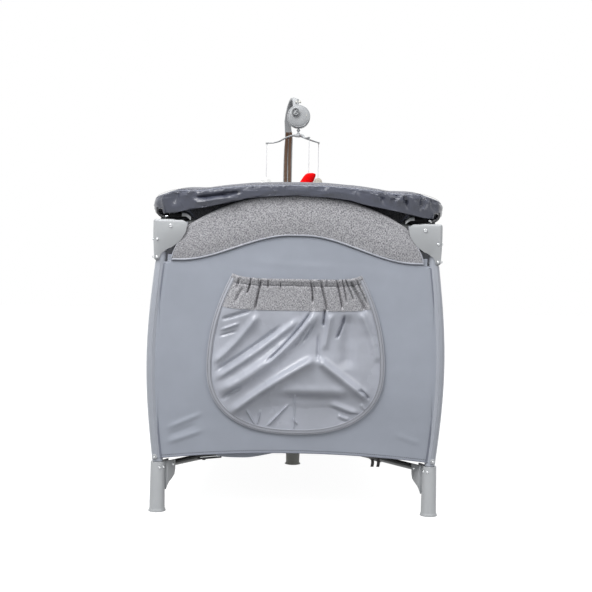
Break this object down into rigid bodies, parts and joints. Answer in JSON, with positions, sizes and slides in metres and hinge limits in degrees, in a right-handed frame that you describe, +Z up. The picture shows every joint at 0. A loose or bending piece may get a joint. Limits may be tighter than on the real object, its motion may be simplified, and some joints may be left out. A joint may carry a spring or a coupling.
{
  "type": "travel play yard",
  "caption": "Folding travel cot with drop-latch top rails, fabric walls, end pocket, clip-on changing tray, mattress, hanging toy mobile and two transport wheels.",
  "frame": {"origin": "on the floor under the middle of the folding hub", "axes": "+Z up, +Y from the pocket end to the mobile end, +X to the right when the pocket end is faced"},
  "size_m": [0.7086, 1.2553, 1.2004],
  "materials": {
    "housing_plastic": "fine matt grain, light grey",
    "leg_tube_metal": "satin grey paint",
    "dark_tube": "charcoal powder coat",
    "red_plastic": "gloss red",
    "black_plastic": "black moulded plastic",
    "wall_fabric": "smooth blue-grey woven polyester",
    "heather_fabric": "mottled heather grey weave",
    "floor_fabric": "plain dark grey weave",
    "pocket_satin": "shiny blue-grey satin",
    "changer_vinyl": "wipe-clean slate coated fabric with a soft gloss",
    "webbing": "ribbed red webbing",
    "wheel_rubber": "dark rubber",
    "white_plush": "short plush",
    "beige_plush": "short plush",
    "red_plush": "short plush",
    "mobile_plastic": "grey moulded plastic"
  },
  "bodies": {
    "leg_front_left": {"leg_tube_front_left": "leg_tube_metal", "corner_housing_front_left": "housing_plastic", "foot_housing_front_left": "housing_plastic", "wall_front": "wall_fabric", "wall_left": "wall_fabric", "pocket": "pocket_satin"},
    "leg_front_right": {"leg_tube_front_right": "leg_tube_metal", "corner_housing_front_right": "housing_plastic", "foot_housing_front_right": "housing_plastic", "wall_right": "wall_fabric"},
    "leg_back_left": {"leg_tube_back_left": "leg_tube_metal", "corner_housing_back_left": "housing_plastic", "foot_housing_back_left": "housing_plastic", "wall_back": "wall_fabric"},
    "leg_back_right": {"leg_tube_back_right": "leg_tube_metal", "corner_housing_back_right": "housing_plastic", "foot_housing_back_right": "housing_plastic"},
    "arm_front_left": {"lower_arm_front_left": "dark_tube", "floor_front_left": "floor_fabric"},
    "arm_front_right": {"lower_arm_front_right": "dark_tube", "floor_front_right": "floor_fabric"},
    "arm_back_left": {"lower_arm_back_left": "dark_tube", "floor_back_left": "floor_fabric"},
    "arm_back_right": {"lower_arm_back_right": "dark_tube", "floor_back_right": "floor_fabric"},
    "hub": {"hub": "black_plastic", "pull_strap": "webbing"},
    "mattress": {"mattress": "heather_fabric"},
    "rail_front_left": {"rail_front_left": "dark_tube"},
    "rail_front_right": {"rail_front_right": "dark_tube"},
    "rail_back_left": {"rail_back_left": "dark_tube"},
    "rail_back_right": {"rail_back_right": "dark_tube"},
    "rail_left_front": {"rail_left_front": "dark_tube"},
    "rail_left_back": {"rail_left_back": "dark_tube"},
    "rail_right_front": {"rail_right_front": "dark_tube"},
    "rail_right_back": {"rail_right_back": "dark_tube"},
    "latch_front": {"latch_front": "black_plastic"},
    "latch_button_front": {"latch_button_front": "red_plastic"},
    "latch_back": {"latch_back": "black_plastic"},
    "latch_button_back": {"latch_button_back": "red_plastic"},
    "latch_left": {"latch_left": "black_plastic"},
    "latch_button_left": {"latch_button_left": "red_plastic"},
    "latch_right": {"latch_right": "black_plastic"},
    "latch_button_right": {"latch_button_right": "red_plastic"},
    "changer": {"changer_cover": "changer_vinyl", "changer_frame": "dark_tube", "changer_clip_left_front": "black_plastic", "changer_clip_left_back": "black_plastic", "changer_clip_right_front": "black_plastic", "changer_clip_right_back": "black_plastic"},
    "mobile": {"mobile_clamp": "mobile_plastic", "mobile_arm": "mobile_plastic", "music_box": "mobile_plastic"},
    "winding_knob": {"winding_knob": "mobile_plastic"},
    "carousel": {"carousel": "mobile_plastic"},
    "toy_white": {"toy_white": "white_plush"},
    "toy_beige": {"toy_beige": "beige_plush"},
    "toy_red": {"toy_red": "red_plush"},
    "wheel_left": {"wheel_back_left": "wheel_rubber"},
    "wheel_right": {"wheel_back_right": "wheel_rubber"}
  },
  "joints": [
    {"name": "frame_fold", "type": "hinge", "parent": "leg_front_left", "child": "arm_front_left", "pos_m": [-0.30102, -0.56979, 0.108], "axis": [0.8842, -0.4671, 0], "range_deg": [0, 80], "deforming": ["wall_front", "wall_left", "wall_right", "wall_back", "pocket", "mattress", "floor_front_left", "floor_front_right", "floor_back_left", "floor_back_right"]},
    {"name": "hub_level", "type": "hinge", "parent": "arm_front_left", "child": "hub", "pos_m": [-0.02102, -0.03979, 0.08402], "axis": [0.8842, -0.4671, 0], "range_deg": [-80, 0]},
    {"name": "arm_front_right_fold", "type": "hinge", "parent": "hub", "child": "arm_front_right", "pos_m": [0.02102, -0.03979, 0.08402], "axis": [0.8842, 0.4671, 0], "range_deg": [0, 80]},
    {"name": "leg_front_right_level", "type": "hinge", "parent": "arm_front_right", "child": "leg_front_right", "pos_m": [0.30102, -0.56979, 0.108], "axis": [0.8842, 0.4671, 0], "range_deg": [-80, 0]},
    {"name": "arm_back_left_fold", "type": "hinge", "parent": "hub", "child": "arm_back_left", "pos_m": [-0.02102, 0.03979, 0.08402], "axis": [-0.8842, -0.4671, 0], "range_deg": [0, 80]},
    {"name": "leg_back_left_level", "type": "hinge", "parent": "arm_back_left", "child": "leg_back_left", "pos_m": [-0.30102, 0.56979, 0.108], "axis": [-0.8842, -0.4671, 0], "range_deg": [-80, 0]},
    {"name": "arm_back_right_fold", "type": "hinge", "parent": "hub", "child": "arm_back_right", "pos_m": [0.02102, 0.03979, 0.08402], "axis": [-0.8842, 0.4671, 0], "range_deg": [0, 80]},
    {"name": "leg_back_right_level", "type": "hinge", "parent": "arm_back_right", "child": "leg_back_right", "pos_m": [0.30102, 0.56979, 0.108], "axis": [-0.8842, 0.4671, 0], "range_deg": [-80, 0]},
    {"name": "rail_front_left_drop", "type": "hinge", "parent": "leg_front_left", "child": "rail_front_left", "pos_m": [-0.301, -0.592, 0.68], "axis": [0, 1, 0], "range_deg": [0, 80]},
    {"name": "rail_front_right_drop", "type": "hinge", "parent": "leg_front_right", "child": "rail_front_right", "pos_m": [0.301, -0.592, 0.68], "axis": [0, -1, 0], "range_deg": [0, 80]},
    {"name": "rail_back_left_drop", "type": "hinge", "parent": "leg_back_left", "child": "rail_back_left", "pos_m": [-0.301, 0.592, 0.68], "axis": [0, 1, 0], "range_deg": [0, 80]},
    {"name": "rail_back_right_drop", "type": "hinge", "parent": "leg_back_right", "child": "rail_back_right", "pos_m": [0.301, 0.592, 0.68], "axis": [0, -1, 0], "range_deg": [0, 80]},
    {"name": "rail_left_front_drop", "type": "hinge", "parent": "leg_front_left", "child": "rail_left_front", "pos_m": [-0.322, -0.551, 0.68], "axis": [-1, 0, 0], "range_deg": [0, 80]},
    {"name": "rail_left_back_drop", "type": "hinge", "parent": "leg_back_left", "child": "rail_left_back", "pos_m": [-0.322, 0.551, 0.68], "axis": [1, 0, 0], "range_deg": [0, 80]},
    {"name": "rail_right_front_drop", "type": "hinge", "parent": "leg_front_right", "child": "rail_right_front", "pos_m": [0.322, -0.551, 0.68], "axis": [-1, 0, 0], "range_deg": [0, 80]},
    {"name": "rail_right_back_drop", "type": "hinge", "parent": "leg_back_right", "child": "rail_right_back", "pos_m": [0.322, 0.551, 0.68], "axis": [1, 0, 0], "range_deg": [0, 80]},
    {"name": "latch_front_level", "type": "hinge", "parent": "rail_front_left", "child": "latch_front", "pos_m": [-0.021, -0.592, 0.6912], "axis": [0, 1, 0], "range_deg": [-80, 0]},
    {"name": "latch_button_front_press", "type": "slide", "parent": "latch_front", "child": "latch_button_front", "axis": [0, 0, 1], "range_m": [0, 0.004], "stiffness_N_per_m": 400, "springref_m": -0.003},
    {"name": "latch_back_level", "type": "hinge", "parent": "rail_back_left", "child": "latch_back", "pos_m": [-0.021, 0.592, 0.6912], "axis": [0, 1, 0], "range_deg": [-80, 0]},
    {"name": "latch_button_back_press", "type": "slide", "parent": "latch_back", "child": "latch_button_back", "axis": [0, 0, 1], "range_m": [0, 0.004], "stiffness_N_per_m": 400, "springref_m": -0.003},
    {"name": "latch_left_level", "type": "hinge", "parent": "rail_left_front", "child": "latch_left", "pos_m": [-0.322, -0.021, 0.7012], "axis": [-1, 0, 0], "range_deg": [-80, 0]},
    {"name": "latch_button_left_press", "type": "slide", "parent": "latch_left", "child": "latch_button_left", "axis": [0, 0, 1], "range_m": [0, 0.004], "stiffness_N_per_m": 400, "springref_m": -0.003},
    {"name": "latch_right_level", "type": "hinge", "parent": "rail_right_front", "child": "latch_right", "pos_m": [0.322, -0.021, 0.7012], "axis": [-1, 0, 0], "range_deg": [-80, 0]},
    {"name": "latch_button_right_press", "type": "slide", "parent": "latch_right", "child": "latch_button_right", "axis": [0, 0, 1], "range_m": [0, 0.004], "stiffness_N_per_m": 400, "springref_m": -0.003},
    {"name": "changer_lift", "type": "slide", "parent": "hub", "child": "changer", "axis": [0, 0, -1], "range_m": [0, 0.3501]},
    {"name": "mattress_lift", "type": "slide", "parent": "hub", "child": "mattress", "axis": [0, 0, 1], "range_m": [0, 0.0501]},
    {"name": "mobile_lift", "type": "slide", "parent": "latch_back", "child": "mobile", "axis": [0, 0, 1], "range_m": [0, 0.5501]},
    {"name": "winding_knob_turn", "type": "hinge", "parent": "mobile", "child": "winding_knob", "pos_m": [-0.009, 0.412, 1.134], "axis": [0, -1, 0], "continuous": true},
    {"name": "carousel_spin", "type": "hinge", "parent": "mobile", "child": "carousel", "pos_m": [0, 0.43, 1.062], "axis": [0, 0, 1], "continuous": true},
    {"name": "toy_white_swing", "type": "hinge", "parent": "carousel", "child": "toy_white", "pos_m": [-0.10994, 0.45137, 1.044], "axis": [-0.1908, -0.9816, 0], "range_deg": [-20, 20]},
    {"name": "toy_beige_swing", "type": "hinge", "parent": "carousel", "child": "toy_beige", "pos_m": [0.07348, 0.51453, 1.044], "axis": [-0.7547, 0.6561, 0], "range_deg": [-20, 20]},
    {"name": "toy_red_swing", "type": "hinge", "parent": "carousel", "child": "toy_red", "pos_m": [0.03646, 0.3241, 1.044], "axis": [0.9455, 0.3256, 0], "range_deg": [-20, 20]},
    {"name": "wheel_left_roll", "type": "hinge", "parent": "leg_back_left", "child": "wheel_left", "pos_m": [-0.29, 0.595, 0.028], "axis": [1, 0, 0], "continuous": true},
    {"name": "wheel_right_roll", "type": "hinge", "parent": "leg_back_right", "child": "wheel_right", "pos_m": [0.29, 0.595, 0.028], "axis": [1, 0, 0], "continuous": true}
  ],
  "couplings": [
    {"joint": "hub_level", "follows": "frame_fold", "ratio": -1},
    {"joint": "arm_front_right_fold", "follows": "frame_fold", "ratio": 1},
    {"joint": "leg_front_right_level", "follows": "frame_fold", "ratio": -1},
    {"joint": "arm_back_left_fold", "follows": "frame_fold", "ratio": 1},
    {"joint": "leg_back_left_level", "follows": "frame_fold", "ratio": -1},
    {"joint": "arm_back_right_fold", "follows": "frame_fold", "ratio": 1},
    {"joint": "leg_back_right_level", "follows": "frame_fold", "ratio": -1},
    {"joint": "rail_front_left_drop", "follows": "frame_fold", "ratio": 1},
    {"joint": "rail_front_right_drop", "follows": "frame_fold", "ratio": 1},
    {"joint": "rail_back_left_drop", "follows": "frame_fold", "ratio": 1},
    {"joint": "rail_back_right_drop", "follows": "frame_fold", "ratio": 1},
    {"joint": "rail_left_front_drop", "follows": "frame_fold", "ratio": 1},
    {"joint": "rail_left_back_drop", "follows": "frame_fold", "ratio": 1},
    {"joint": "rail_right_front_drop", "follows": "frame_fold", "ratio": 1},
    {"joint": "rail_right_back_drop", "follows": "frame_fold", "ratio": 1},
    {"joint": "latch_front_level", "follows": "frame_fold", "ratio": -1},
    {"joint": "latch_back_level", "follows": "frame_fold", "ratio": -1},
    {"joint": "latch_left_level", "follows": "frame_fold", "ratio": -1},
    {"joint": "latch_right_level", "follows": "frame_fold", "ratio": -1},
    {"joint": "changer_lift", "follows": "frame_fold", "m_per_rad": 0.25067},
    {"joint": "mattress_lift", "follows": "frame_fold", "m_per_rad": 0.03581},
    {"joint": "mobile_lift", "follows": "frame_fold", "m_per_rad": 0.39391}
  ]
}
